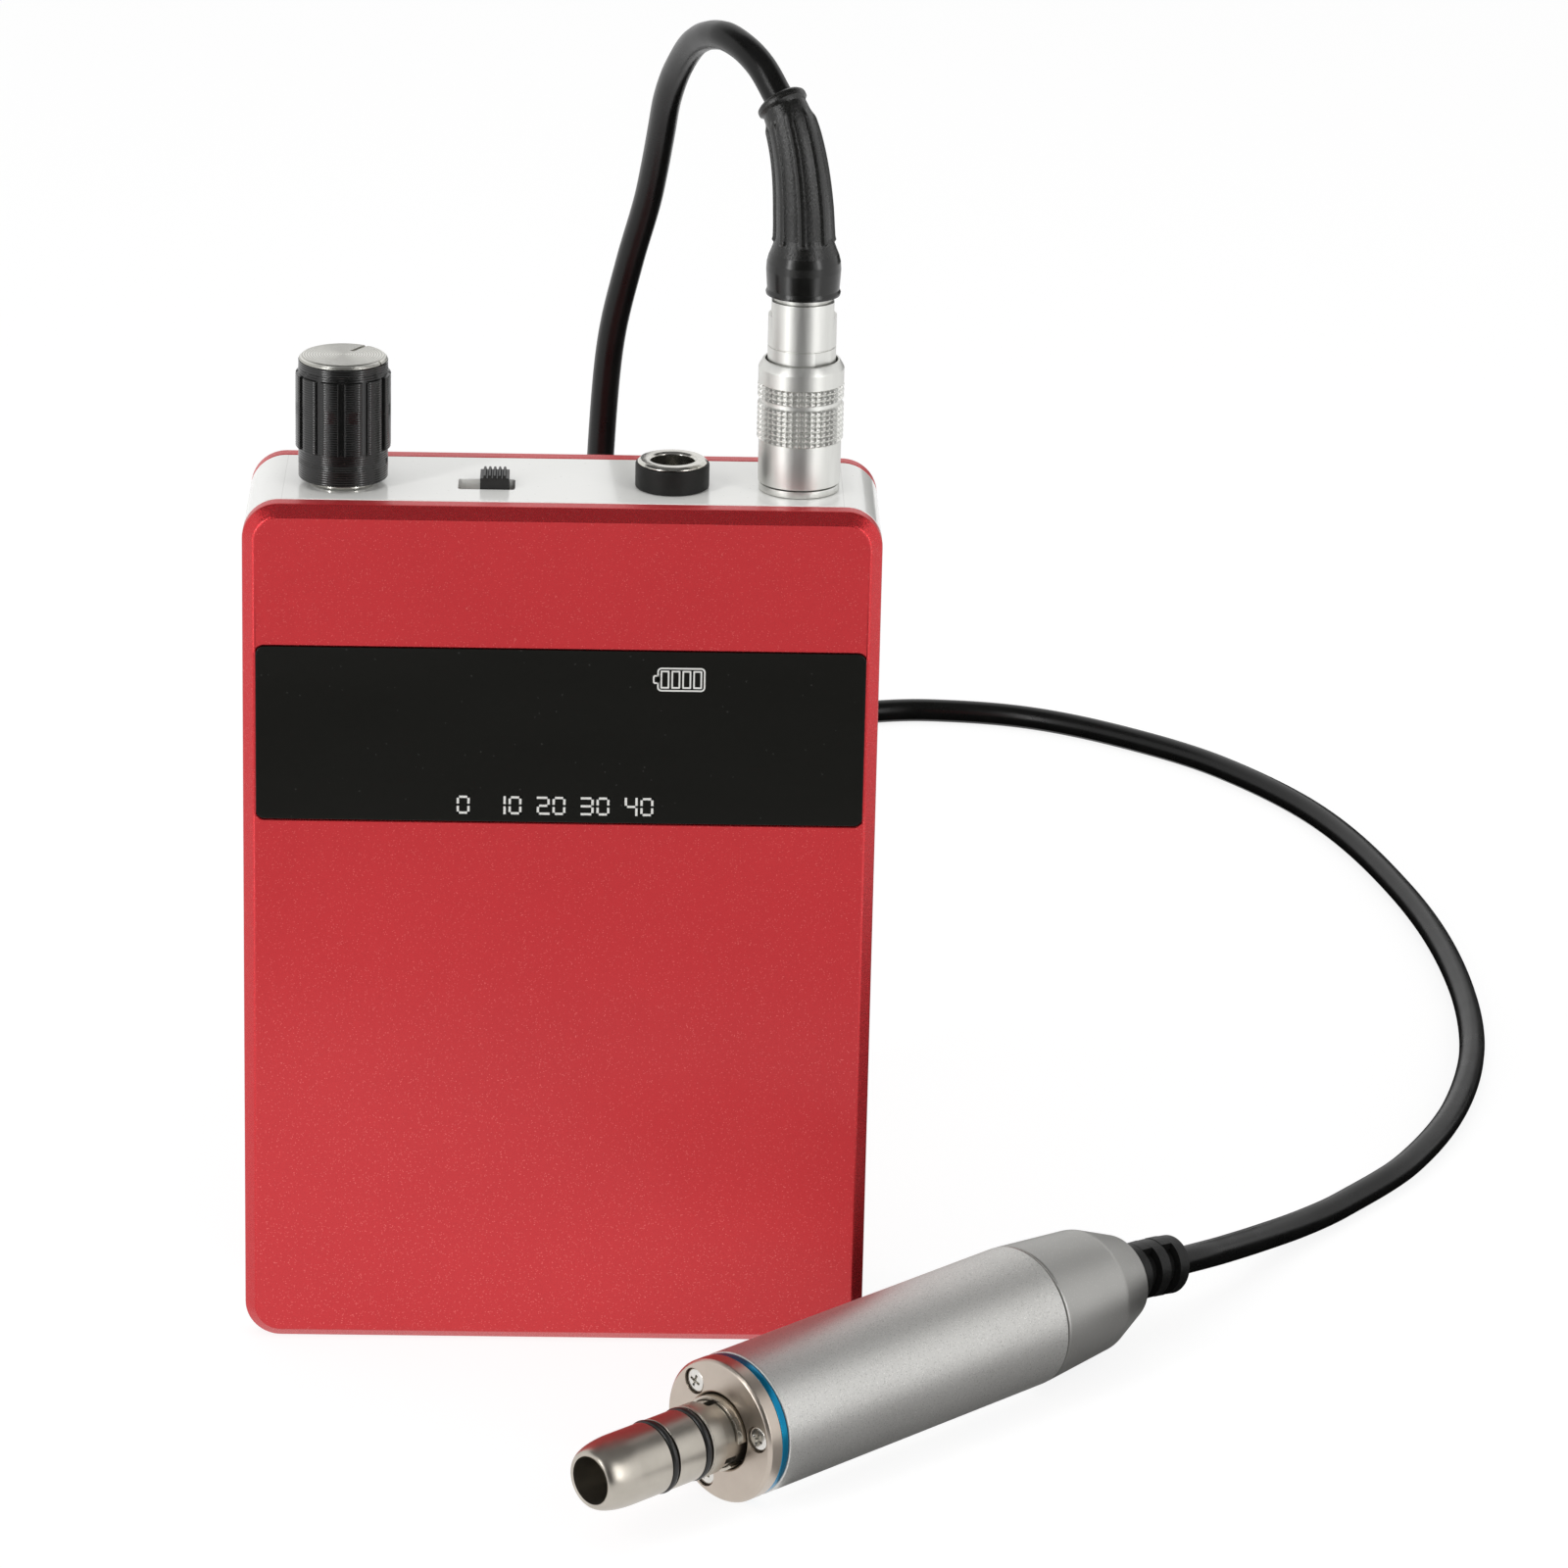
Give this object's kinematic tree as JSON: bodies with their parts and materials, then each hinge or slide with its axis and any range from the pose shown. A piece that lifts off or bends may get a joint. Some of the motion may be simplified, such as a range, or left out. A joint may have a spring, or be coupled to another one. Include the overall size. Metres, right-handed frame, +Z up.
{
  "type": "dental lab micromotor",
  "caption": "Cordless lab micromotor control box with speed knob, slide switch, charge socket and display, with its cylindrical motor handpiece on a flexible cord.",
  "frame": {"origin": "centre of the control box's bottom face, on the surface that it stands on", "axes": "+Z up; the box's front, with the display, faces -Y; +X is to the right seen from the front; the handpiece lies in front of the box, turned 43 degrees from +X towards +Y"},
  "size_m": [0.1886, 0.3434, 0.1832],
  "materials": {
    "red_anodised_metal": "anodised, fine metallic sparkle",
    "gloss_white_plastic": "gloss moulded",
    "smoked_acrylic": "polished smoked strip",
    "display_glass": "display module",
    "board_green": "solder-masked board",
    "cell_wrap": "shrink-wrapped cell",
    "case_screw_steel": "plain steel",
    "switch_beige": "moulded phenolic",
    "switch_black": "matt moulded",
    "pot_metal": "pressed case",
    "bright_nickel": "nickel plated",
    "satin_nickel": "satin nickel",
    "black_anodised": "black anodised, turned",
    "insert_plastic": "moulded insert",
    "shaft_aluminium": "turned",
    "jack_black": "moulded, lightly textured",
    "contact_dark": "moulded contact carrier",
    "spring_steel": "drawn wire",
    "boot_rubber": "grained rubber",
    "cord_jacket": "semi-gloss jacket",
    "blasted_silver": "bead-blasted",
    "tail_grey": "bead-blasted, darker",
    "flange_steel": "satin stainless steel",
    "nose_steel": "turned stainless steel",
    "blue_anodised": "blue anodised ring",
    "o_ring_rubber": "nitrile rubber",
    "latch_steel": "hardened spring clip",
    "bright_screw_steel": "polished screw",
    "winding_copper": "wound copper in its core",
    "magnet_black": "plated magnet",
    "bearing_steel": "ground steel",
    "end_cap_brass": "machined brass"
  },
  "bodies": {
    "root": {"front_cover": "red_anodised_metal", "rear_cover": "red_anodised_metal", "centre_frame": "gloss_white_plastic", "display_window": "smoked_acrylic", "display_module": "display_glass", "main_board": "board_green", "battery_cell_1": "cell_wrap", "battery_cell_2": "cell_wrap", "battery_cell_3": "cell_wrap", "battery_cell_4": "cell_wrap", "cover_screw_1": "case_screw_steel", "cover_screw_2": "case_screw_steel", "cover_screw_3": "case_screw_steel", "cover_screw_4": "case_screw_steel", "pot_body": "pot_metal", "pot_washer": "bright_nickel", "pot_nut": "bright_nickel", "switch_body": "switch_beige", "jack_body": "jack_black", "jack_nut": "bright_nickel", "jack_bushing": "bright_nickel", "jack_pin": "bright_nickel", "socket_shell": "satin_nickel", "socket_nut": "satin_nickel", "socket_insert": "contact_dark", "plug_barrel": "satin_nickel", "plug_insert": "contact_dark", "sleeve_spring": "spring_steel", "plug_boot": "boot_rubber", "handpiece_cord": "cord_jacket", "cord_grommet": "boot_rubber", "handpiece_barrel": "blasted_silver", "tail_cap": "tail_grey", "front_flange": "flange_steel", "nose_tube": "nose_steel", "blue_ring": "blue_anodised", "o_ring_front": "o_ring_rubber", "o_ring_rear": "o_ring_rubber", "latch_clip": "latch_steel", "flange_screw_1": "bright_screw_steel", "flange_screw_2": "bright_screw_steel", "flange_screw_3": "bright_screw_steel", "motor_stator": "winding_copper", "front_bearing": "bearing_steel", "rear_bearing": "bearing_steel", "motor_end_cap": "end_cap_brass", "sensor_board": "board_green"},
    "knob": {"knob_shell": "black_anodised", "knob_insert": "insert_plastic", "pot_shaft": "shaft_aluminium"},
    "switch_slider": {"switch_lever": "switch_black"},
    "plug_lock": {"plug_sleeve": "satin_nickel"},
    "rotor": {"motor_shaft": "bearing_steel", "rotor_magnet": "magnet_black", "dog_spring": "spring_steel"},
    "dog": {"drive_dog": "bearing_steel"}
  },
  "joints": [
    {"name": "knob_turn", "type": "hinge", "parent": "root", "child": "knob", "pos_m": [-0.03, -0.002, 0.122], "axis": [0, 0, -1], "range_deg": [0, 300]},
    {"name": "switch_slide", "type": "slide", "parent": "root", "child": "switch_slider", "axis": [-1, 0, 0], "range_m": [0, 0.0022]},
    {"name": "sleeve_pull", "type": "slide", "parent": "root", "child": "plug_lock", "axis": [0, 0, 1], "range_m": [0, 0.0012], "stiffness_N_per_m": 1500, "springref_m": -0.0005, "deforming": ["sleeve_spring"]},
    {"name": "rotor_spin", "type": "hinge", "parent": "root", "child": "rotor", "pos_m": [0.0224, -0.065, 0.01], "axis": [0.7314, 0.682, 0], "continuous": true},
    {"name": "dog_push", "type": "slide", "parent": "rotor", "child": "dog", "axis": [0.7314, 0.682, 0], "range_m": [0, 0.0015], "stiffness_N_per_m": 300, "springref_m": -0.0005, "deforming": ["dog_spring"]}
  ]
}
